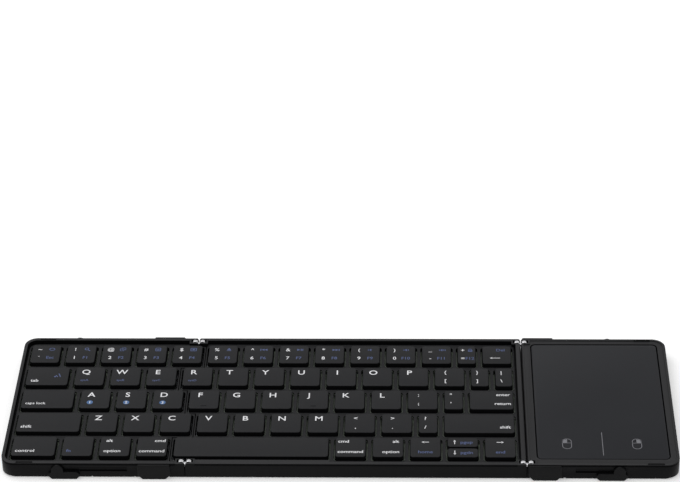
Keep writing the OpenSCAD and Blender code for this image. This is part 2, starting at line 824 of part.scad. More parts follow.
// Tabs at the flap ends, each with a round knob that runs in the case groove
module knobs(tab, knob) {
    for (s = [-1, 1]) {
        translate([0, s * (half_d + proud) + (s > 0 ? 0 : ear_t), 0]) rotate([90, 0, 0])
            linear_extrude(ear_t) union() {
                polygon([[tab + tab_cut, 0], [tab + tab_l - tab_cut, 0],
                         [tab + tab_l, tab_cut], [tab + tab_l, tab_h - 1],
                         [tab + tab_l - 1, tab_h], [tab + 1, tab_h], [tab, tab_h - 1],
                         [tab, tab_cut]]);
                translate([knob, knob_z]) circle(r = knob_rim);
                translate([knob - knob_rim, tab_cut])
                    square([2 * knob_rim, knob_z - tab_cut]);
            }
        translate([tab + tab_cut, s > 0 ? board_d / 2 : -half_d - proud, 0])
            cube([tab_l - 2 * tab_cut, half_d + proud - board_d / 2, board_t]);
        translate([knob, s > 0 ? half_d + 0.2 - knob_l : -half_d - 0.2, knob_z])
            rotate([-90, 0, 0]) cylinder(d = knob_d, h = knob_l);
    }
}

module left_knobs() color("#1c1c1e") knobs(left_tab, left_knob);

module right_knobs() color("#1c1c1e") knobs(right_tab, right_knob);

module flex_cable(x0, x1) {
    box(x0, x1, row_y(3) - 5, row_y(3) + 5, 2.45, 2.6);
}

module left_flex_cable() color("#b5762a") flex_cable(web_x(3) - 14, web_x(3) + 14);

module right_flex_cable() color("#b5762a") flex_cable(right_fold - 12, right_fold + 5);

module tab_key() color("#303134") caps(2, 0, 0);

module caps_lock_key() color("#303134") caps(3, 0, 0);

module left_shift_key() color("#303134") caps(4, 0, 0);

module control_key() color("#303134") caps(5, 0, 0);

module backspace_key() color("#303134") caps(1, 13, 13);

module enter_key() color("#303134") caps(3, 12, 12);

module right_shift_key() color("#303134") caps(4, 11, 11);

module space_bar() color("#303134") caps(5, 4, 4);

module arrow_left_key() color("#303134") caps(5, 7, 7);

module arrow_right_key() color("#303134") caps(5, 9, 9);

// Half-depth key of the stacked pair, s = 1 behind and -1 in front
module half_key(s) {
    d = (key_d - arrow_split) / 2;
    y = row_y(arrow_row) + s * (key_d + arrow_split) / 4 - d / 2;
    key_cap(key_x(arrow_row, arrow_i), y, key_w, d);
}

module arrow_up_key() color("#303134") half_key(1);

module arrow_down_key() color("#303134") half_key(-1);

module left_number_keys() color("#303134") caps(1, 0, 4);

module left_upper_keys() color("#303134") caps(2, 1, 3);

module left_home_keys() color("#303134") caps(3, 1, 3);

module left_lower_keys() color("#303134") caps(4, 1, 3);

module left_modifier_keys() color("#303134") caps(5, 1, 3);

module centre_number_keys() color("#303134") caps(1, 5, 12);

module centre_upper_keys() color("#303134") caps(2, 4, 13);

module centre_home_keys() color("#303134") caps(3, 4, 11);

module centre_lower_keys() color("#303134") caps(4, 4, 10);

module centre_modifier_keys() color("#303134") caps(5, 5, 6);

centre_base();
centre_frame();
centre_key_plate();
centre_membrane();
centre_domes();
centre_scissors();
centre_screws();
centre_cover();
left_base();
left_frame();
left_key_plate();
left_membrane();
left_domes();
left_scissors();
left_screws();
left_bumpers();
right_base();
right_frame();
right_bumpers();
touchpad();
touchpad_board();
touchpad_switch();
battery();
main_board();
charging_port();
left_links();
left_hinge_pins();
right_links();
right_hinge_pins();
left_spine();
left_strip();
left_flap();
left_knobs();
right_spine();
right_flap();
right_knobs();
left_flex_cable();
right_flex_cable();
tab_key();
caps_lock_key();
left_shift_key();
control_key();
backspace_key();
enter_key();
right_shift_key();
space_bar();
arrow_left_key();
arrow_up_key();
arrow_down_key();
arrow_right_key();
left_number_keys();
left_upper_keys();
left_home_keys();
left_lower_keys();
left_modifier_keys();
centre_number_keys();
centre_upper_keys();
centre_home_keys();
centre_lower_keys();
centre_modifier_keys();
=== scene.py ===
import json
import math

import bmesh
import bpy
from mathutils import Matrix, Vector


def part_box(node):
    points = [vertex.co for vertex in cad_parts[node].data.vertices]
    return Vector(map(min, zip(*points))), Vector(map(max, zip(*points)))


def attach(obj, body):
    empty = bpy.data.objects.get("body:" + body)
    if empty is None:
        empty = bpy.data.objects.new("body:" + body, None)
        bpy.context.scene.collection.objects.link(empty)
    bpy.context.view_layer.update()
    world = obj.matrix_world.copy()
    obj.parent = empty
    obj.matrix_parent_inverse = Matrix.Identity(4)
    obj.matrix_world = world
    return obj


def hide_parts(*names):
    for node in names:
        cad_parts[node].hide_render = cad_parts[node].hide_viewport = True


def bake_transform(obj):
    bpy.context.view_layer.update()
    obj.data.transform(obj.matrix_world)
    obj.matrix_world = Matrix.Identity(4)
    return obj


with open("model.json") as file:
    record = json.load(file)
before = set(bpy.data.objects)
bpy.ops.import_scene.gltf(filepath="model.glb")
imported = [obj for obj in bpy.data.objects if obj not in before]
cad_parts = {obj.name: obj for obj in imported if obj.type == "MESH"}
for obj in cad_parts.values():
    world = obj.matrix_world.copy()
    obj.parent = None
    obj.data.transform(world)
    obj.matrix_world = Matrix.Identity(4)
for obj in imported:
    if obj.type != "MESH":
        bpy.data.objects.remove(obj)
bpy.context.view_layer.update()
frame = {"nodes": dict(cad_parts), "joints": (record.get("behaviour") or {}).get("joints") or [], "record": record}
mm = 0.001
scene = bpy.context.scene
nodes = frame["nodes"]
bodyOf = {node: body for body, members in frame["record"]["behaviour"]["bodies"].items()
          for node in members}
jointAt = {j["name"]: Vector(j["pos_m"]) for j in frame["joints"] if "pos_m" in j}
print("frame loaded:", len(nodes), "nodes")


# node trees

noiseSpan = (0.3, 0.7)  # most of a noise texture's values lie in here


def put(tree, kind, values=None, **props):
    node = tree.nodes.new("ShaderNode" + kind)
    for key, value in props.items():
        setattr(node, key, value)
    for key, value in (values or {}).items():
        if isinstance(value, bpy.types.NodeSocket):
            tree.links.new(value, node.inputs[key])
        else:
            node.inputs[key].default_value = value
    return node


def calc(tree, operation, a, b=0.0):
    return put(tree, "Math", {0: a, 1: b}, operation=operation).outputs[0]


def remap(tree, value, low, high, newLow, newHigh):
    node = put(tree, "MapRange", {"Value": value, "From Min": low, "From Max": high,
                                  "To Min": newLow, "To Max": newHigh})
    return node.outputs["Result"]


def newGroup(name, inputs, outputs):
    tree = bpy.data.node_groups.new(name, "ShaderNodeTree")
    for label, kind, value in inputs:
        socket = tree.interface.new_socket(label, in_out="INPUT", socket_type="NodeSocket" + kind)
        if value is not None:
            socket.default_value = value
    for label, kind in outputs:
        tree.interface.new_socket(label, in_out="OUTPUT", socket_type="NodeSocket" + kind)
    return tree, tree.nodes.new("NodeGroupInput").outputs, tree.nodes.new("NodeGroupOutput").inputs


# fine moulded texture with faint handling marks
def mouldGrainGroup():
    tree, given, result = newGroup(
        "mouldGrain",
        [("Vector", "Vector", None), ("Grain", "Float", 5000.0), ("Marks", "Float", 40.0)],
        [("Tone", "Float"), ("Shine", "Float"), ("Height", "Float")])
    grain = put(tree, "TexNoise", {"Vector": given["Vector"], "Scale": given["Grain"],
                                   "Detail": 2.0}).outputs["Fac"]
    marks = put(tree, "TexNoise", {"Vector": given["Vector"], "Scale": given["Marks"],
                                   "Detail": 4.0, "Roughness": 0.6}).outputs["Fac"]
    both = calc(tree, "ADD", calc(tree, "MULTIPLY", grain, 0.4), calc(tree, "MULTIPLY", marks, 0.6))
    tree.links.new(remap(tree, both, 0.35, 0.65, 0.9, 1.1), result["Tone"])
    tree.links.new(remap(tree, marks, *noiseSpan, -0.05, 0.05), result["Shine"])
    tree.links.new(grain, result["Height"])
    return tree


# plain weave with thick and thin threads that run front to back
def clothWeaveGroup():
    tree, given, result = newGroup(
        "clothWeave",
        [("Vector", "Vector", None), ("Threads", "Float", 1900.0), ("Slub", "Float", 1.0)],
        [("Tone", "Float"), ("Height", "Float")])
    parts = put(tree, "SeparateXYZ", {0: given["Vector"]}).outputs
    across = calc(tree, "MULTIPLY", parts["X"], given["Threads"])
    along = calc(tree, "MULTIPLY", parts["Y"], given["Threads"])
    cell = calc(tree, "ADD", calc(tree, "FLOOR", across), calc(tree, "FLOOR", along))
    over = calc(tree, "PINGPONG", cell, 1.0)
    warp = calc(tree, "ABSOLUTE", calc(tree, "SINE", calc(tree, "MULTIPLY", across, math.pi)))
    weft = calc(tree, "ABSOLUTE", calc(tree, "SINE", calc(tree, "MULTIPLY", along, math.pi)))
    crown = put(tree, "Mix", {"Factor": over, "A": warp, "B": weft}).outputs["Result"]
    slubs = []
    for scale in ((1500.0, 55.0, 300.0), (70.0, 1500.0, 300.0)):
        stretched = put(tree, "Mapping", {"Vector": given["Vector"], "Scale": scale})
        slubs.append(put(tree, "TexNoise", {"Vector": stretched.outputs["Vector"], "Scale": 1.0,
                                            "Detail": 3.0, "Roughness": 0.65}).outputs["Fac"])
    streak = calc(tree, "ADD", calc(tree, "MULTIPLY", slubs[0], 0.7),
                  calc(tree, "MULTIPLY", slubs[1], 0.3))
    streak = calc(tree, "MULTIPLY", remap(tree, streak, 0.35, 0.65, -0.5, 0.5), given["Slub"])
    tone = calc(tree, "ADD", remap(tree, crown, 0.0, 1.0, 0.7, 1.1), streak)
    tree.links.new(calc(tree, "MAXIMUM", tone, 0.25), result["Tone"])
    tree.links.new(calc(tree, "ADD", crown, calc(tree, "MULTIPLY", streak, 0.5)), result["Height"])
    return tree


# drawn or brushed metal, lines along the stretch
def brushedGroup():
    tree, given, result = newGroup(
        "brushedMetal",
        [("Vector", "Vector", None), ("Stretch", "Vector", (300.0, 9000.0, 9000.0))],
        [("Tone", "Float"), ("Shine", "Float"), ("Height", "Float")])
    lines = put(tree, "Mapping", {"Vector": given["Vector"], "Scale": given["Stretch"]})
    brush = put(tree, "TexNoise", {"Vector": lines.outputs["Vector"], "Scale": 1.0,
                                   "Detail": 3.0}).outputs["Fac"]
    tree.links.new(remap(tree, brush, *noiseSpan, 0.88, 1.06), result["Tone"])
    tree.links.new(remap(tree, brush, *noiseSpan, -0.08, 0.1), result["Shine"])
    tree.links.new(brush, result["Height"])
    return tree


groups = {"mouldGrain": mouldGrainGroup(), "clothWeave": clothWeaveGroup(),
          "brushedMetal": brushedGroup()}


# one finish: a colour, how rough it is and the group that breaks it up,
# bump holds the strength of its relief and the depth in mm
def finish(name, colour, rough, group="mouldGrain", bump=(0.15, 0.02), metal=0.0, sheen=0.0,
           specular=0.5, **groupValues):
    material = bpy.data.materials.new(name)
    material.use_nodes = True
    tree = material.node_tree
    shader = tree.nodes["Principled BSDF"]
    place = put(tree, "TexCoord").outputs["Object"]
    effect = put(tree, "Group", node_tree=groups[group])
    tree.links.new(place, effect.inputs["Vector"])
    for key, value in groupValues.items():
        effect.inputs[key].default_value = value
    toned = put(tree, "VectorMath", {0: colour, 1: effect.outputs["Tone"]}, operation="MULTIPLY")
    tree.links.new(toned.outputs["Vector"], shader.inputs["Base Color"])
    if "Shine" in effect.outputs:
        tree.links.new(calc(tree, "ADD", effect.outputs["Shine"], rough), shader.inputs["Roughness"])
    else:
        shader.inputs["Roughness"].default_value = rough
    relief = put(tree, "Bump", {"Height": effect.outputs["Height"], "Strength": bump[0],
                                "Distance": bump[1] * mm})
    tree.links.new(relief.outputs["Normal"], shader.inputs["Normal"])
    shader.inputs["Metallic"].default_value = metal
    shader.inputs["Sheen Weight"].default_value = sheen
    shader.inputs["Specular IOR Level"].default_value = specular
    return material


finishes = {
    "case": finish("casePlastic", (0.0026, 0.0026, 0.0030), 0.42, specular=0.09, Grain=4500.0),
    "frame": finish("framePlastic", (0.0140, 0.0141, 0.0155), 0.48, specular=0.25, Grain=4500.0),
    "web": finish("deckWeb", (0.0125, 0.0126, 0.0138), 0.55, specular=0.18, Grain=4500.0),
    "keyTop": finish("keyTopPlastic", (0.0125, 0.0127, 0.0142), 0.55, specular=0.18, Grain=6500.0,
                     bump=(0.2, 0.02)),
    # painted shade: a near black that stands in for the shade on the key caps' sides, on upright deck walls and on
    # the touchpad's sides
    "paintedShade": finish("paintedShadeBlack", (0.0022, 0.0022, 0.0025), 0.6, specular=0.05,
                      Grain=6500.0),
    "white": finish("whitePrint", (0.74, 0.74, 0.76), 0.5, specular=0.2, Grain=7000.0),
    "blue": finish("bluePrint", (0.080, 0.105, 0.215), 0.5, specular=0.2, Grain=7000.0),
    "disc": finish("discPrint", (0.075, 0.145, 0.30), 0.5, specular=0.2, Grain=7000.0),
    "grey": finish("greyPrint", (0.17, 0.17, 0.185), 0.5, specular=0.2, Grain=7000.0),
    "pad": finish("padSurface", (0.0115, 0.0122, 0.0150), 0.36, specular=0.2, Grain=9000.0,
                  Marks=25.0, bump=(0.08, 0.01)),
    "cloth": finish("boardCloth", (0.026, 0.026, 0.028), 0.85, group="clothWeave", specular=0.2,
                    bump=(0.6, 0.09), sheen=0.12, Threads=1900.0, Slub=0.8),
    "clothEdge": finish("clothEdge", (0.007, 0.007, 0.008), 0.7, group="clothWeave", specular=0.15,
                        bump=(0.3, 0.05), Threads=1900.0, Slub=0.4),
    "inner": finish("boardInside", (0.009, 0.009, 0.010), 0.6, specular=0.2, Grain=2500.0,
                    bump=(0.3, 0.04)),
    "tab": finish("tabPlastic", (0.0034, 0.0034, 0.0038), 0.4, specular=0.12, Grain=4500.0),
    "link": finish("linkSteel", (0.86, 0.86, 0.88), 0.2, group="brushedMetal", metal=1.0,
                   bump=(0.1, 0.01)),
    "pin": finish("pinSteel", (0.65, 0.66, 0.68), 0.28, group="brushedMetal", metal=1.0,
                  bump=(0.1, 0.01)),
    "rubber": finish("bumperRubber", (0.004, 0.004, 0.0044), 0.75, specular=0.15, Grain=2600.0,
                     bump=(0.3, 0.04)),
    "port": finish("portSteel", (0.55, 0.56, 0.58), 0.3, group="brushedMetal", metal=1.0,
                   bump=(0.1, 0.01)),
    "plate": finish("plateSteel", (0.30, 0.31, 0.33), 0.35, group="brushedMetal", metal=1.0,
                    bump=(0.1, 0.01)),
    "screw": finish("screwSteel", (0.20, 0.20, 0.21), 0.35, group="brushedMetal", metal=1.0,
                    bump=(0.1, 0.01)),
    "film": finish("membraneFilm", (0.16, 0.19, 0.15), 0.4, Grain=900.0, bump=(0.1, 0.01)),
    "dome": finish("domeRubber", (0.70, 0.70, 0.67), 0.6, Grain=3500.0),
    "scissor": finish("scissorPlastic", (0.74, 0.74, 0.71), 0.4, Grain=5000.0),
    "circuit": finish("circuitBoard", (0.014, 0.10, 0.04), 0.4, Grain=1200.0, bump=(0.2, 0.02)),
    "switch": finish("switchPlastic", (0.55, 0.55, 0.55), 0.45, Grain=5000.0),
    "battery": finish("batteryFoil", (0.33, 0.36, 0.39), 0.35, Grain=700.0, metal=0.8,
                      bump=(0.4, 0.05)),
    "flex": finish("flexFilm", (0.012, 0.008, 0.004), 0.35, Grain=1500.0, bump=(0.1, 0.01)),
}
print("finishes made:", len(finishes))


# meshes: weld in mm, the others in degrees

meshShape = {"weld": 0.003, "flat": 0.7, "smooth": 38.0, "sharp": 35.0}


def append(bm, part, index=None):
    if index is not None:
        for face in part.faces:
            face.material_index = index
    mesh = bpy.data.meshes.new("part")
    part.to_mesh(mesh)
    part.free()
    bm.from_mesh(mesh)
    bpy.data.meshes.remove(mesh)


def makePiece(name, bm, looks, body, replaced=()):
    mesh = bpy.data.meshes.new(name)
    bm.to_mesh(mesh)
    bm.free()
    if "custom_normal" in mesh.attributes:
        mesh.attributes.remove(mesh.attributes["custom_normal"])
    for look in looks:
        mesh.materials.append(finishes[look])
    mesh.shade_smooth()
    mesh.set_sharp_from_angle(angle=math.radians(meshShape["smooth"]))
    piece = bpy.data.objects.new(name, mesh)
    scene.collection.objects.link(piece)
    if body:
        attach(piece, body)
    if replaced:
        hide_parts(*replaced)
    return piece


def mergedCopy(node):
    bm = bmesh.new()
    bm.from_mesh(nodes[node].data)
    for face in bm.faces:
        face.material_index = 0
    bmesh.ops.remove_doubles(bm, verts=bm.verts, dist=meshShape["weld"] * mm)
    bmesh.ops.dissolve_limit(bm, angle_limit=math.radians(meshShape["flat"]), verts=bm.verts,
                             edges=bm.edges)
    return bm


def convexEdges(bm, over=meshShape["sharp"]):
    return [e for e in bm.edges if len(e.link_faces) == 2 and e.is_convex
            and e.calc_face_angle(0.0) > math.radians(over)]


def bevelEdges(bm, edges, width, segments=2):
    bmesh.ops.bevel(bm, geom=edges, offset=width * mm, offset_type="OFFSET", segments=segments,
                    profile=0.5, affect="EDGES", clamp_overlap=True, material=-1)


# a CAD node again as one closed mesh with softened edges
def softened(node, name, looks, width, segments=2, over=meshShape["sharp"], paint=None,
             wanted=None):
    bm = mergedCopy(node)
    edges = convexEdges(bm, over)
    if wanted:
        edges = [e for e in edges if wanted(e)]
    bevelEdges(bm, edges, width, segments)
    if paint:
        for face in bm.faces:
            face.material_index = paint(face)
    return makePiece(name, bm, looks, bodyOf[node], (node,))


# case

caseShape = {"edge": 0.3, "frameEdge": 0.42, "frameSteps": 3, "outer": (148.0, 44.0),
             "rimFoot": 6.9, "level": 0.2, "blockFoot": 7.2, "steep": 0.45, "paintedShadeTop": 6.05,
             "webTop": 6.7}
wideRim = {"x": (-69.3, -4.0), "front": -47.0, "foot": 7.0}
# the decks' finishes; the third is a near black painted shade
frameTone, webTone, paintedShadeTone = 0, 1, 2


def meanPlace(edge):
    return (edge.verts[0].co + edge.verts[1].co) / 2


# only the outer edges are softened: the stepped ones between the panels stay crisp
def shellEdge(edge):
    at = meanPlace(edge)
    return abs(at.x) > caseShape["outer"][0] * mm or abs(at.y) > caseShape["outer"][1] * mm


def rimEdge(edge):
    return all(v.co.z > caseShape["rimFoot"] * mm for v in edge.verts)


# the tops of the hinge blocks and other high upward faces of the shells get the frames' lighter tone, the rest the
# near black case: partly the parts' own colours, partly a painted highlight on the tops and painted shade on the
# walls
def casePaint(face):
    high = face.calc_center_median().z > caseShape["blockFoot"] * mm
    return 1 if high and face.normal.z > caseShape["level"] else 0


# painted shade: upright walls and the lowest faces get a near black, but for the front of the wide part of the
# front rim; the lower deck between the keys gets the web finish, the rest the frame tone
def deckPaint(face):
    at = face.calc_center_median()
    first, last = (x * mm for x in wideRim["x"])
    if at.y < wideRim["front"] * mm and first < at.x < last and at.z > wideRim["foot"] * mm:
        return frameTone
    if face.normal.z < caseShape["steep"] or at.z < caseShape["paintedShadeTop"] * mm:
        return paintedShadeTone
    return webTone if at.z < caseShape["webTop"] * mm else frameTone


for node, name in (("centre_base", "centreShell"), ("left_base", "leftShell"),
                   ("right_base", "rightShell")):
    softened(node, name, ["case", "frame"], caseShape["edge"], paint=casePaint,
             wanted=shellEdge)
for node, name in (("centre_frame", "centreDeck"), ("left_frame", "leftDeck"),
                   ("right_frame", "padFrame")):
    softened(node, name, ["frame", "web", "paintedShade"], caseShape["frameEdge"],
             segments=caseShape["frameSteps"], paint=deckPaint, wanted=rimEdge)
print("case panels softened")


# cover

boardShape = {"edge": 0.3, "edgeSteps": 3, "under": -0.6, "edgeTop": 0.75, "capProud": 0.02}
creaseShape = {"half": 1.3, "thick": 0.22, "high": 0.35, "inset": 0.2, "cuts": 11, "bend": 0.5}


# cloth below, its turned edge at the foot of the sides and the bare inside above
def boardPaint(face):
    if face.normal.z < boardShape["under"]:
        return 0
    return 1 if face.calc_center_median().z < boardShape["edgeTop"] * mm else 2


for node, name in (("centre_cover", "centreBoard"), ("left_strip", "leftStripBoard"),
                   ("left_flap", "leftFlapBoard"), ("right_flap", "rightFlapBoard")):
    softened(node, name, ["cloth", "clothEdge", "inner"], boardShape["edge"],
             segments=boardShape["edgeSteps"], paint=boardPaint)


# the spines carry plastic end caps at both ends
def spinePaint(face):
    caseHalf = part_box("centre_base")[1].y
    if abs(face.calc_center_median().y) > caseHalf + boardShape["capProud"] * mm:
        return 3
    return boardPaint(face)


for node, name in (("left_spine", "leftSpineBoard"), ("right_spine", "rightSpineBoard")):
    softened(node, name, ["cloth", "clothEdge", "inner", "tab"],
             boardShape["edge"], segments=boardShape["edgeSteps"], paint=spinePaint)


# cloth that runs on across a crease between the two boards
def creaseCloth(name, joint):
    at = jointAt[joint]
    half = creaseShape["half"] * mm
    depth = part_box("centre_cover")[1].y - creaseShape["inset"] * mm
    thick = creaseShape["thick"] * mm
    bm = bmesh.new()
    bmesh.ops.create_cube(bm, size=1.0, matrix=Matrix.Translation(
        (at.x, 0, creaseShape["high"] * mm)) @ Matrix.Diagonal((2 * half, 2 * depth, thick, 1)))
    across = [e for e in bm.edges if abs(e.verts[0].co.x - e.verts[1].co.x) > half]
    bmesh.ops.subdivide_edges(bm, edges=across, cuts=creaseShape["cuts"])
    band = makePiece(name, bm, ["clothEdge"], None)
    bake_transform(band)


creaseCloth("leftInnerCrease", "left_spine_hinge")
creaseCloth("leftOuterCrease", "left_strip_hinge")
creaseCloth("rightInnerCrease", "right_spine_hinge")
print("cover boards dressed")

tabShape = {"edge": 0.3, "steps": 3}

for node, name in (("left_knobs", "leftFlapTabs"), ("right_knobs", "rightFlapTabs")):
    softened(node, name, ["tab"], tabShape["edge"], segments=tabShape["steps"])


# fold links and pins, rim pads and socket

linkShape = {"edge": 0.7, "steps": 4, "sharp": 60.0, "pinEdge": 0.12}
rimPadShape = {"edge": 0.28, "steps": 3}
socketShape = {"edge": 0.12}

for node, name in (("left_links", "leftFoldLinks"), ("right_links", "rightFoldLinks")):
    softened(node, name, ["link"], linkShape["edge"], segments=linkShape["steps"],
             over=linkShape["sharp"])
for node, name in (("left_hinge_pins", "leftFoldPins"), ("right_hinge_pins", "rightFoldPins")):
    softened(node, name, ["pin"], linkShape["pinEdge"], over=linkShape["sharp"])

for node, name in (("left_bumpers", "leftRimPads"), ("right_bumpers", "rightRimPads")):
    softened(node, name, ["rubber"], rimPadShape["edge"],
             segments=rimPadShape["steps"])
softened("charging_port", "chargingSocket", ["port"], socketShape["edge"])
print("links, pins, rim pads and socket made")


# prints: words and plain symbols a hair above a surface

printLift = 0.015 * mm
roundSteps = 24
wordShape = {"bold": 0.010, "curveSteps": 3}
arrowShape = {"line": 0.35, "shaft": 0.6, "head": 0.75}


def wordMesh(words, side):
    curve = bpy.data.curves.new("words", "FONT")
    curve.body = words
    curve.align_x = side
    curve.offset = wordShape["bold"]
    curve.resolution_u = wordShape["curveSteps"]
    holder = bpy.data.objects.new("words", curve)
    mesh = bpy.data.meshes.new_from_object(holder)
    bpy.data.objects.remove(holder)
    bpy.data.curves.remove(curve)
    return mesh


capLine = wordMesh("H", "CENTER")
capUnit = max(v.co.y for v in capLine.vertices)
bpy.data.meshes.remove(capLine)


# at is the middle of the first line's capitals
def addWords(bm, words, at, height, index, side="CENTER", wide=1.0):
    mesh = wordMesh(words, side)
    grow = height * mm / capUnit
    mesh.transform(Matrix.Translation((at[0], at[1] - height * mm / 2, at[2] + printLift))
                   @ Matrix.Diagonal((grow * wide, grow, 1, 1)))
    mesh.polygons.foreach_set("material_index", [index] * len(mesh.polygons))
    bm.from_mesh(mesh)
    bpy.data.meshes.remove(mesh)


def addDisc(bm, at, radius, index):
    part = bmesh.new()
    bmesh.ops.create_circle(part, cap_ends=True, segments=roundSteps, radius=radius * mm,
                            matrix=Matrix.Translation((at[0], at[1], at[2] + printLift)))
    append(bm, part, index)


def addRing(bm, at, outer, line, index, tall=1.0, steps=roundSteps):
    part = bmesh.new()
    place = Matrix.Translation((at[0], at[1], at[2] + printLift)) @ Matrix.Diagonal((1, tall, 1, 1))
    for radius in (outer, outer - line):
        bmesh.ops.create_circle(part, segments=steps, radius=radius * mm, matrix=place)
    bmesh.ops.bridge_loops(part, edges=part.edges)
    bmesh.ops.recalc_face_normals(part, faces=part.faces)
    if part.faces[0].normal.z < 0:
        bmesh.ops.reverse_faces(part, faces=part.faces)
    append(bm, part, index)


def addBar(bm, a, b, width, index):
    a, b = Vector(a), Vector(b)
    part = bmesh.new()
    turn = math.atan2(b.y - a.y, b.x - a.x)
    middle = (a + b) / 2 + Vector((0, 0, printLift))
    bmesh.ops.create_grid(part, x_segments=1, y_segments=1, size=0.5, matrix=Matrix.Translation(
        middle) @ Matrix.Rotation(turn, 4, "Z") @ Matrix.Diagonal(((b - a).length, width * mm, 1, 1)))
    append(bm, part, index)


def addTriangle(bm, at, size, turn, index):
    part = bmesh.new()
    bmesh.ops.create_circle(part, cap_ends=True, segments=3, radius=size * mm,
                            matrix=Matrix.Translation((at[0], at[1], at[2] + printLift))
                            @ Matrix.Rotation(math.radians(turn), 4, "Z"))
    append(bm, part, index)


def addBox(bm, at, w, h, line, index):
    x, y, z = at
    w, h = w * mm / 2, h * mm / 2
    corners = [(x - w, y - h, z), (x + w, y - h, z), (x + w, y + h, z), (x - w, y + h, z)]
    for a, b in zip(corners, corners[1:] + corners[:1]):
        addBar(bm, a, b, line, index)


# arrow of a length in mm, turned from pointing right
def addArrow(bm, at, length, turn, index):
    way = Vector((math.cos(math.radians(turn)), math.sin(math.radians(turn)), 0))
    middle = Vector(at)
    half = length * mm / 2
    neck = middle + way * half * arrowShape["shaft"]
    addBar(bm, middle - way * half, neck, arrowShape["line"], index)
    addTriangle(bm, neck, arrowShape["head"], turn - 90, index)


# plain symbols, in mm about their middle: bar from, to, width; box middle, size, line;
# disc middle, radius; ring middle, radius, line; triangle middle, size, turn
speaker = [("bar", -1.1, 0, -0.4, 0, 0.6), ("triangle", -0.25, 0, 0.75, 90)]
firstWave, secondWave = ("bar", 0.6, -0.45, 0.6, 0.45, 0.25), ("bar", 1.1, -0.45, 1.1, 0.45, 0.25)
iconStrokes = {
    "start": [("ring", 0, 0, 1.1, 0.32, 0.8, 8)],
    "search": [("ring", -0.25, 0.25, 0.75, 0.28), ("bar", 0.3, -0.3, 0.95, -0.95, 0.35)],
    "tiles": [("box", -0.25, -0.2, 1.3, 1.3, 0.22), ("box", 0.35, 0.35, 1.3, 1.3, 0.22)],
    "screen": [("box", 0, 0, 1.7, 1.7, 0.28), ("bar", -0.5, -0.2, 0.5, -0.2, 0.5)],
    "picture": [("box", 0, 0, 1.9, 1.6, 0.28), ("disc", 0, 0, 0.45)],
    "eject": [("triangle", 0, 0.25, 0.85, 0), ("bar", -0.75, -0.6, 0.75, -0.6, 0.3)],
    "back": [("triangle", 0.7, 0, 0.7, 90), ("triangle", -0.35, 0, 0.7, 90),
             ("bar", -1.3, -0.6, -1.3, 0.6, 0.3)],
    "forward": [("triangle", -0.7, 0, 0.7, -90), ("triangle", 0.35, 0, 0.7, -90),
                ("bar", 1.3, -0.6, 1.3, 0.6, 0.3)],
    "play": [("triangle", -0.6, 0, 0.75, -90), ("bar", 0.45, -0.6, 0.45, 0.6, 0.3),
             ("bar", 1.0, -0.6, 1.0, 0.6, 0.3)],
    "mute": speaker,
    "quieter": speaker + [firstWave],
    "louder": speaker + [firstWave, secondWave],
    "lock": [("bar", -0.75, -0.35, 0.75, -0.35, 1.0), ("ring", 0, 0.25, 0.6, 0.25)],
    "waves": [("disc", -0.7, -0.5, 0.3), ("bar", -0.5, 0.2, 0.1, -0.6, 0.3),
              ("bar", 0.3, 1.0, 0.9, -0.6, 0.3)],
}


def addIcon(bm, kind, at, index):
    def spot(dx, dy):
        return (at.x + dx * mm, at.y + dy * mm, at.z)

    for stroke, dx, dy, *sizes in iconStrokes[kind]:
        if stroke == "bar":
            addBar(bm, spot(dx, dy), spot(sizes[0], sizes[1]), sizes[2], index)
        elif stroke == "box":
            addBox(bm, spot(dx, dy), *sizes, index)
        elif stroke == "disc":
            addDisc(bm, spot(dx, dy), *sizes, index)
        elif stroke == "ring":
            outer, line, *form = sizes
            addRing(bm, spot(dx, dy), outer, line, index, *form)
        else:
            addTriangle(bm, spot(dx, dy), *sizes, index)


def addGrownIcon(bm, kind, at, index, grow=1.35):
    icon = bmesh.new()
    addIcon(icon, kind, at, index)
    bmesh.ops.scale(icon, vec=(grow, grow, 1), verts=icon.verts, space=Matrix.Translation(-at))
    append(bm, icon)


# keys

capShape = {"corner": 1.4, "cornerSteps": 5, "taper": 0.28, "edge": 0.35, "edgeSteps": 3,
            "skirt": 0.9, "roof": 1.0, "level": 0.45}
barShape = {"long": 2.8, "wide": 0.45, "high": 0.22, "edge": 0.14, "place": (0.5, 0.83)}
whiteInk, blueInk, discInk = 2, 3, 4


# the lowest and the highest corner of each cap in a node, from left to right
def capPlaces(node):
    bm = bmesh.new()
    bm.from_mesh(nodes[node].data)
    bmesh.ops.remove_doubles(bm, verts=bm.verts, dist=meshShape["weld"] * mm)
    waiting, places = set(bm.verts), []
    while waiting:
        front, island = [waiting.pop()], []
        while front:
            vert = front.pop()
            island.append(vert.co.copy())
            for edge in vert.link_edges:
                other = edge.other_vert(vert)
                if other in waiting:
                    waiting.remove(other)
                    front.append(other)
        places.append((Vector([min(c[i] for c in island) for i in range(3)]),
                       Vector([max(c[i] for c in island) for i in range(3)])))
    bm.free()
    return sorted(places, key=lambda p: p[0].x)


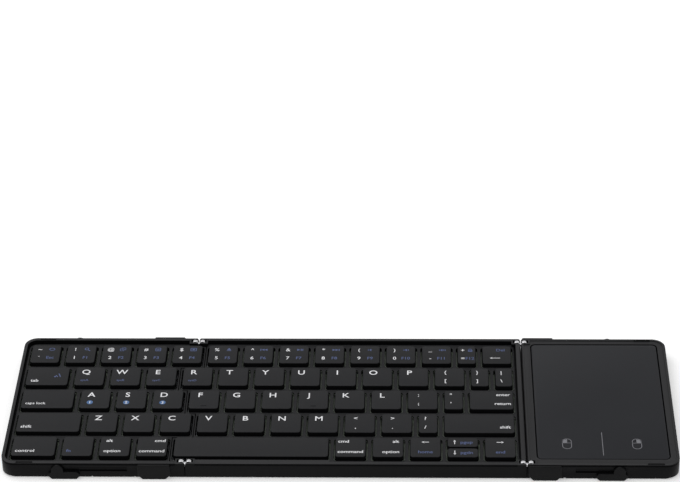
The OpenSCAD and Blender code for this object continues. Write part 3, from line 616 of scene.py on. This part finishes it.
def addCap(bm, low, high):
    cap = bmesh.new()
    size, centre = high - low, (low + high) / 2
    bmesh.ops.create_cube(cap, size=1.0, matrix=Matrix.Translation(centre)
                          @ Matrix.Diagonal((*size, 1)))
    bevelEdges(cap, [e for e in cap.edges
                     if abs(e.verts[0].co.z - e.verts[1].co.z) > size.z / 2],
               capShape["corner"], capShape["cornerSteps"])
    roof = max(cap.faces, key=lambda f: f.calc_center_median().z)
    under = min(cap.faces, key=lambda f: f.calc_center_median().z)
    taper = 2 * capShape["taper"] * mm
    bmesh.ops.scale(cap, vec=(1 - taper / size.x, 1 - taper / size.y, 1), verts=roof.verts,
                    space=Matrix.Translation(-centre))
    bmesh.ops.inset_region(cap, faces=[under], thickness=capShape["skirt"] * mm)
    hollow = bmesh.ops.extrude_discrete_faces(cap, faces=[under])["faces"]
    bmesh.ops.translate(cap, vec=(0, 0, size.z - capShape["roof"] * mm),
                        verts=[v for f in hollow for v in f.verts])
    bevelEdges(cap, list(roof.edges), capShape["edge"], capShape["edgeSteps"])
    # painted shade: faces that don't face up get the near black finish that stands in for the shade on the cap's
    # sides, the tops get the key plastic
    for face in cap.faces:
        face.material_index = 0 if face.normal.z > capShape["level"] else 1
    append(bm, cap)


# u runs from the left edge of a cap and v from its back edge, both 0 to 1
def spotOn(place, u, v):
    low, high = place
    return Vector((low.x + u * (high.x - low.x), high.y - v * (high.y - low.y), high.z))


def addHomingBar(bm, place):
    bar = bmesh.new()
    at = spotOn(place, *barShape["place"])
    size = (barShape["long"] * mm, barShape["wide"] * mm, 2 * barShape["high"] * mm)
    bmesh.ops.create_cube(bar, size=1.0, matrix=Matrix.Translation(at) @ Matrix.Diagonal((*size, 1)))
    bevelEdges(bar, list(bar.edges), barShape["edge"])
    append(bm, bar, 0)


# heights in mm, places as shares of a cap's width and depth
markShape = {"upperLine": 0.25, "lowerLine": 0.70, "signHigh": 2.3, "signPlace": 0.29,
             "pairPlace": 0.36, "iconPlace": 0.69, "functionHigh": 2.0, "functionPlace": 0.66,
             "letterHigh": 3.3, "letterWide": 1.08, "letterPlace": (0.36, 0.27),
             "layerHigh": 1.4, "layerPlace": (0.34, 0.71), "discRadius": 1.45,
             "discPlace": (0.34, 0.68), "discDigit": 1.7, "wordHigh": 1.95, "wordWide": 1.05}


def labelPair(bm, place, marks, u=markShape["pairPlace"]):
    for words, line in zip(marks, ("upperLine", "lowerLine")):
        addWords(bm, words, spotOn(place, u, markShape[line]), markShape["signHigh"], whiteInk)


def labelNumber(bm, place, marks):
    shifted, digit, icon, function = marks
    labelPair(bm, place, (shifted, digit), markShape["signPlace"])
    addGrownIcon(bm, icon, spotOn(place, markShape["iconPlace"], markShape["upperLine"]), blueInk)
    addWords(bm, function, spotOn(place, markShape["functionPlace"], markShape["lowerLine"]),
             markShape["functionHigh"], blueInk)


def labelLetter(bm, place, marks):
    letter, *second = marks
    addWords(bm, letter, spotOn(place, *markShape["letterPlace"]), markShape["letterHigh"],
             whiteInk, wide=markShape["letterWide"])
    for words in second:
        if words.isdigit():
            at = spotOn(place, *markShape["discPlace"])
            addDisc(bm, at, markShape["discRadius"], discInk)
            addWords(bm, words, at + Vector((0, 0, printLift)), markShape["discDigit"], whiteInk)
        else:
            addWords(bm, words, spotOn(place, *markShape["layerPlace"]), markShape["layerHigh"],
                     blueInk)


def labelWord(bm, place, marks):
    for words, u, v, ink, side, *height in marks:
        addWords(bm, words, spotOn(place, u, v), height[0] if height else markShape["wordHigh"],
                 ink, side, wide=markShape["wordWide"])


numberMarks = {
    "left": [("~", "`", "start", "Esc"), ("!", "1", "search", "F1"), ("@", "2", "tiles", "F2"),
             ("#", "3", "screen", "F3"), ("$", "4", "picture", "F4")],
    "centre": [("%", "5", "eject", "F5"), ("^", "6", "back", "F6"), ("&", "7", "play", "F7"),
               ("*", "8", "forward", "F8"), ("(", "9", "mute", "F9"), (")", "0", "quieter", "F10"),
               ("_", "-", "louder", "F11"), ("+", "=", "lock", "F12")]}


def lineOf(marks, label=labelLetter):
    return [(label, mark) for mark in marks]


# a word's mark: the word, its place, ink and side, and its height where it isn't the usual one
left, right = "LEFT", "RIGHT"
keyPieces = {
    "left_number_keys": ("leftNumberCaps", lineOf(numberMarks["left"], labelNumber)),
    "centre_number_keys": ("centreNumberCaps", lineOf(numberMarks["centre"], labelNumber)),
    "left_upper_keys": ("leftUpperCaps", lineOf([("Q", "sysA"), ("W", "sysB"), ("E", "sysC")])),
    "centre_upper_keys": ("centreUpperCaps", lineOf([("R", "sysD")] + [(c,) for c in "TYUIOP"])
                          + lineOf([("{", "["), ("}", "]"), ("|", "\\")], labelPair)),
    "left_home_keys": ("leftHomeCaps", lineOf([("A", "1"), ("S", "2"), ("D", "3")])),
    "centre_home_keys": ("centreHomeCaps", lineOf([(c,) for c in "FGHJKL"])
                         + lineOf([(":", ";"), ('"', "'")], labelPair)),
    "left_lower_keys": ("leftLowerCaps", lineOf([("Z",), ("X",), ("C",)])),
    "centre_lower_keys": ("centreLowerCaps", lineOf([(c,) for c in "VBNM"])
                          + lineOf([("<", ","), (">", "."), ("?", "/")], labelPair)),
    "left_modifier_keys": ("leftModifierCaps", lineOf([
        [("fn", 0.15, 0.73, blueInk, left)],
        [("alt", 0.2, 0.21, whiteInk, left), ("option", 0.15, 0.73, whiteInk, left)],
        [("cmd", 0.92, 0.21, whiteInk, right), ("command", 0.92, 0.73, whiteInk, right)]],
        labelWord)),
    "centre_modifier_keys": ("centreModifierCaps", lineOf([
        [("cmd", 0.09, 0.21, whiteInk, left), ("command", 0.08, 0.73, whiteInk, left)],
        [("alt", 0.85, 0.21, whiteInk, right), ("option", 0.87, 0.73, whiteInk, right)]],
        labelWord)),
    "tab_key": ("tabCap", lineOf([[("tab", 0.12, 0.74, whiteInk, left)]], labelWord)),
    "caps_lock_key": ("capsLockCap", lineOf([[("caps lock", 0.085, 0.73, whiteInk, left, 1.65)]],
                                            labelWord)),
    "left_shift_key": ("leftShiftCap", lineOf([[("shift", 0.07, 0.72, whiteInk, left)]],
                                              labelWord)),
    "control_key": ("controlCap", lineOf([[("control", 0.09, 0.73, whiteInk, left)]], labelWord)),
    "backspace_key": ("backspaceCap", lineOf([[("Del", 0.63, 0.24, blueInk, "CENTER")]],
                                             labelWord)),
    "enter_key": ("enterCap", lineOf([[("enter", 0.92, 0.22, whiteInk, right),
                                       ("return", 0.94, 0.69, whiteInk, right)]], labelWord)),
    "right_shift_key": ("rightShiftCap", lineOf([[("shift", 0.94, 0.69, whiteInk, right)]],
                                                labelWord)),
    "space_bar": ("spaceCap", lineOf([[]], labelWord)),
    "arrow_left_key": ("leftArrowCap", lineOf([[("home", 0.5, 0.73, blueInk, "CENTER")]],
                                              labelWord)),
    "arrow_right_key": ("rightArrowCap", lineOf([[("end", 0.5, 0.73, blueInk, "CENTER")]],
                                                labelWord)),
    "arrow_up_key": ("upArrowCap", lineOf([[("pgup", 0.62, 0.5, blueInk, "CENTER")]], labelWord)),
    "arrow_down_key": ("downArrowCap", lineOf([[("pgdn", 0.62, 0.5, blueInk, "CENTER")]],
                                              labelWord)),
}
# place on the cap, length in mm and turn
arrowMarks = {"backspace_key": (0.43, 0.68, 5.2, 180), "arrow_left_key": (0.5, 0.24, 3.2, 180),
              "arrow_right_key": (0.5, 0.24, 3.2, 0), "arrow_up_key": (0.24, 0.5, 2.9, 90),
              "arrow_down_key": (0.24, 0.5, 2.9, 270)}
homingMarks = ("F", "J")
wavesMark = {"place": (0.73, 0.48), "grow": 1.6}

for node, (name, labels) in keyPieces.items():
    bm = bmesh.new()
    places = capPlaces(node)
    for place, (label, marks) in zip(places, labels):
        addCap(bm, *place)
        label(bm, place, marks)
        if marks and marks[0] in homingMarks:
            addHomingBar(bm, place)
        if node == "tab_key":
            addGrownIcon(bm, "waves", spotOn(place, *wavesMark["place"]), blueInk,
                         wavesMark["grow"])
        if node in arrowMarks:
            u, v, length, turn = arrowMarks[node]
            addArrow(bm, spotOn(place, u, v), length, turn, whiteInk)
    makePiece(name, bm, ["keyTop", "paintedShade", "white", "blue", "disc"], bodyOf[node],
              (node,))
    print("key caps:", name, len(places))


# touchpad

padShape = {"edge": 0.22, "edgeSteps": 3}
padPrint = {"line": (-24.0, -41.0), "lineWide": 0.3, "icons": (-16.0, 15.5), "iconBack": -32.5,
            "iconWide": 4.4, "iconDeep": 7.6, "iconSteps": 28, "outline": 0.3, "split": 0.6,
            "splitWide": 0.28, "splitEnd": 0.1, "button": 0.7, "buttonWide": 0.86}
greyInk = 1
onAxis = 1e-9


def addMouse(bm, at, button):
    half, deep = padPrint["iconWide"] / 2, padPrint["iconDeep"] / 2
    straight = deep - half
    x, y, z = at
    part = bmesh.new()
    for radius in (half, half - padPrint["outline"]):
        ring = bmesh.ops.create_circle(part, segments=padPrint["iconSteps"], radius=radius * mm)
        for vert in ring["verts"]:
            if abs(vert.co.y) > onAxis:
                vert.co.y += math.copysign(straight * mm, vert.co.y)
    bmesh.ops.translate(part, vec=(x, y, z + printLift), verts=part.verts)
    bmesh.ops.bridge_loops(part, edges=part.edges)
    bmesh.ops.recalc_face_normals(part, faces=part.faces)
    if part.faces[0].normal.z < 0:
        bmesh.ops.reverse_faces(part, faces=part.faces)
    append(bm, part, greyInk)
    side = -1 if button == "left" else 1
    split = y + padPrint["split"] * mm
    top = y + (deep - padPrint["splitEnd"]) * mm
    addBar(bm, (x - half * mm, split, z), (x + half * mm, split, z), padPrint["splitWide"],
           greyInk)
    addBar(bm, (x, split, z), (x, top, z), padPrint["splitWide"], greyInk)
    pressed = x + side * half / 2 * mm
    addBar(bm, (pressed, y + padPrint["button"] * mm, z),
           (pressed, y + (deep - padPrint["button"]) * mm, z), half * padPrint["buttonWide"],
           greyInk)


padLow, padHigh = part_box("touchpad")
padMiddle = (padLow.x + padHigh.x) / 2
bm = mergedCopy("touchpad")
bevelEdges(bm, convexEdges(bm), padShape["edge"], padShape["edgeSteps"])
# painted shade: the plate's sides get the near black that stands in for the shade in the gap round it, its top the
# pad finish
for face in bm.faces:
    face.material_index = 0 if face.normal.z > caseShape["steep"] else 2
addBar(bm, (padMiddle, padPrint["line"][0] * mm, padHigh.z),
       (padMiddle, padPrint["line"][1] * mm, padHigh.z), padPrint["lineWide"], greyInk)
for offset, button in zip(padPrint["icons"], ("left", "right")):
    addMouse(bm, (padMiddle + offset * mm, padPrint["iconBack"] * mm, padHigh.z), button)
makePiece("padPlate", bm, ["pad", "grey", "paintedShade"], bodyOf["touchpad"],
          ("touchpad",))
print("touchpad made")


# ribbon cables in two halves that meet at the middle of the links

ribbonShape = {"reach": 1.6, "cuts": 30}


def ribbonHalf(name, node, fromX, toX):
    low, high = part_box(node)
    bm = bmesh.new()
    middle = Vector(((fromX + toX) / 2, (low.y + high.y) / 2, (low.z + high.z) / 2))
    size = (abs(toX - fromX), high.y - low.y, high.z - low.z, 1)
    bmesh.ops.create_cube(bm, size=1.0, matrix=Matrix.Translation(middle) @ Matrix.Diagonal(size))
    bmesh.ops.subdivide_edges(bm, edges=[e for e in bm.edges if abs(
        e.verts[0].co.x - e.verts[1].co.x) > abs(toX - fromX) / 2], cuts=ribbonShape["cuts"])
    return makePiece(name, bm, ["flex"], None)


for side, way in (("left", -1), ("right", 1)):
    node = side + "_flex_cable"
    low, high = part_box(node)
    inner, outer = (high.x, low.x) if way < 0 else (low.x, high.x)
    fold = (jointAt[side + "_fold"].x + jointAt[side + "_panel_hinge"].x) / 2
    first = ribbonHalf(side + "RibbonInner", node, inner, fold)
    second = ribbonHalf(side + "RibbonOuter", node, fold, outer)
    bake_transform(first)
    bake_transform(second)
    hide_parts(node)
print("ribbons made")


# inner layers keep their CAD shapes

innerLooks = {"centre_key_plate": "plate", "left_key_plate": "plate", "centre_membrane": "film",
              "left_membrane": "film", "centre_domes": "dome", "left_domes": "dome",
              "centre_scissors": "scissor", "left_scissors": "scissor", "centre_screws": "screw",
              "left_screws": "screw", "touchpad_board": "circuit", "touchpad_switch": "switch",
              "battery": "battery", "main_board": "circuit"}
for node, look in innerLooks.items():
    for socket in nodes[node].material_slots:
        socket.material = finishes[look]
print("inner layers finished")


# floor, light and camera

studio = {"floorSize": 3.0, "floorDrop": 0.05, "paper": 0.84, "paperRough": 0.9,
          "paperShine": 0.1, "glow": 0.28, "mottle": 9.0, "mottleLow": 0.99, "bounce": 0.35,
          "lying": 2.0, "world": 0.66, "keyPower": 7.5, "keySize": 1.1,
          "keyPlace": (-0.55, 0.2, 1.2), "fillPower": 1.5, "fillSize": 0.8,
          "fillPlace": (0.5, -0.9, 0.7)}
white = (1.0, 1.0, 1.0, 1.0)

floorMesh = bmesh.new()
bmesh.ops.create_grid(floorMesh, x_segments=1, y_segments=1, size=studio["floorSize"] / 2,
                      matrix=Matrix.Translation((0, 0, -studio["floorDrop"] * mm)))
floorData = bpy.data.meshes.new("studioFloor")
floorMesh.to_mesh(floorData)
floorMesh.free()
floor = bpy.data.objects.new("studioFloor", floorData)
scene.collection.objects.link(floor)
floorLook = bpy.data.materials.new("floorPaper")
floorLook.use_nodes = True
tree = floorLook.node_tree
paper = tree.nodes["Principled BSDF"]
paper.inputs["Roughness"].default_value = studio["paperRough"]
paper.inputs["Specular IOR Level"].default_value = studio["paperShine"]
paper.inputs["Emission Color"].default_value = white
rays = put(tree, "LightPath").outputs
seen = calc(tree, "MAXIMUM", rays["Is Camera Ray"], rays["Is Glossy Ray"])
mottle = put(tree, "TexNoise", {"Vector": put(tree, "TexCoord").outputs["Object"],
                                "Scale": studio["mottle"], "Detail": 3.0}).outputs["Fac"]
shade = remap(tree, seen, 0.0, 1.0, studio["bounce"], studio["paper"])
shade = calc(tree, "MULTIPLY", shade, remap(tree, mottle, *noiseSpan, studio["mottleLow"], 1.0))
tree.links.new(shade, paper.inputs["Base Color"])
tree.links.new(calc(tree, "MULTIPLY", seen, studio["glow"]), paper.inputs["Emission Strength"])
seeThrough = put(tree, "BsdfTransparent")
# light from below reaches the underside of what lies on the floor
under = calc(tree, "LESS_THAN", rays["Ray Length"], studio["lying"] * mm)
passing = calc(tree, "MAXIMUM", under, put(tree, "NewGeometry").outputs["Backfacing"])
both = put(tree, "MixShader", {0: passing, 1: paper.outputs[0], 2: seeThrough.outputs[0]})
tree.links.new(both.outputs[0], tree.nodes["Material Output"].inputs["Surface"])
floorData.materials.append(floorLook)

world = bpy.data.worlds.new("studioWorld")
scene.world = world
world.use_nodes = True
tree = world.node_tree
sky = tree.nodes["Background"]
rays = put(tree, "LightPath").outputs
seen = calc(tree, "MAXIMUM", rays["Is Camera Ray"], rays["Is Transmission Ray"])
tree.links.new(remap(tree, seen, 0.0, 1.0, studio["world"], 1.0), sky.inputs["Strength"])
sky.inputs["Color"].default_value = white


def addLamp(name, power, size, place):
    lamp = bpy.data.lights.new(name, "AREA")
    lamp.shape = "SQUARE"
    lamp.energy = power
    lamp.size = size
    holder = bpy.data.objects.new(name, lamp)
    scene.collection.objects.link(holder)
    holder.location = place
    holder.rotation_euler = (-Vector(place)).to_track_quat("-Z", "Y").to_euler()


addLamp("keyLamp", studio["keyPower"], studio["keySize"], studio["keyPlace"])
addLamp("fillLamp", studio["fillPower"], studio["fillSize"], studio["fillPlace"])

# the photo's view: place, lens and film in mm, angles in degrees, near in metres
shot = {"place": (34.4, -995.5, 746.0), "pitch": 33.15, "yaw": 1.95, "roll": -1.0,
        "lens": 141.8, "film": 36.0, "near": 0.05}
camera = bpy.data.cameras.new("photoCamera")
camera.lens = shot["lens"]
camera.sensor_width = shot["film"]
camera.clip_start = shot["near"]
cameraHolder = bpy.data.objects.new("photoCamera", camera)
scene.collection.objects.link(cameraHolder)
cameraHolder.matrix_world = (
    Matrix.Translation(Vector(shot["place"]) * mm)
    @ Matrix.Rotation(math.radians(shot["yaw"]), 4, "Z")
    @ Matrix.Rotation(math.radians(90 - shot["pitch"]), 4, "X")
    @ Matrix.Rotation(math.radians(shot["roll"]), 4, "Z"))
scene.camera = cameraHolder
scene.view_settings.view_transform = "Standard"
print("studio ready")
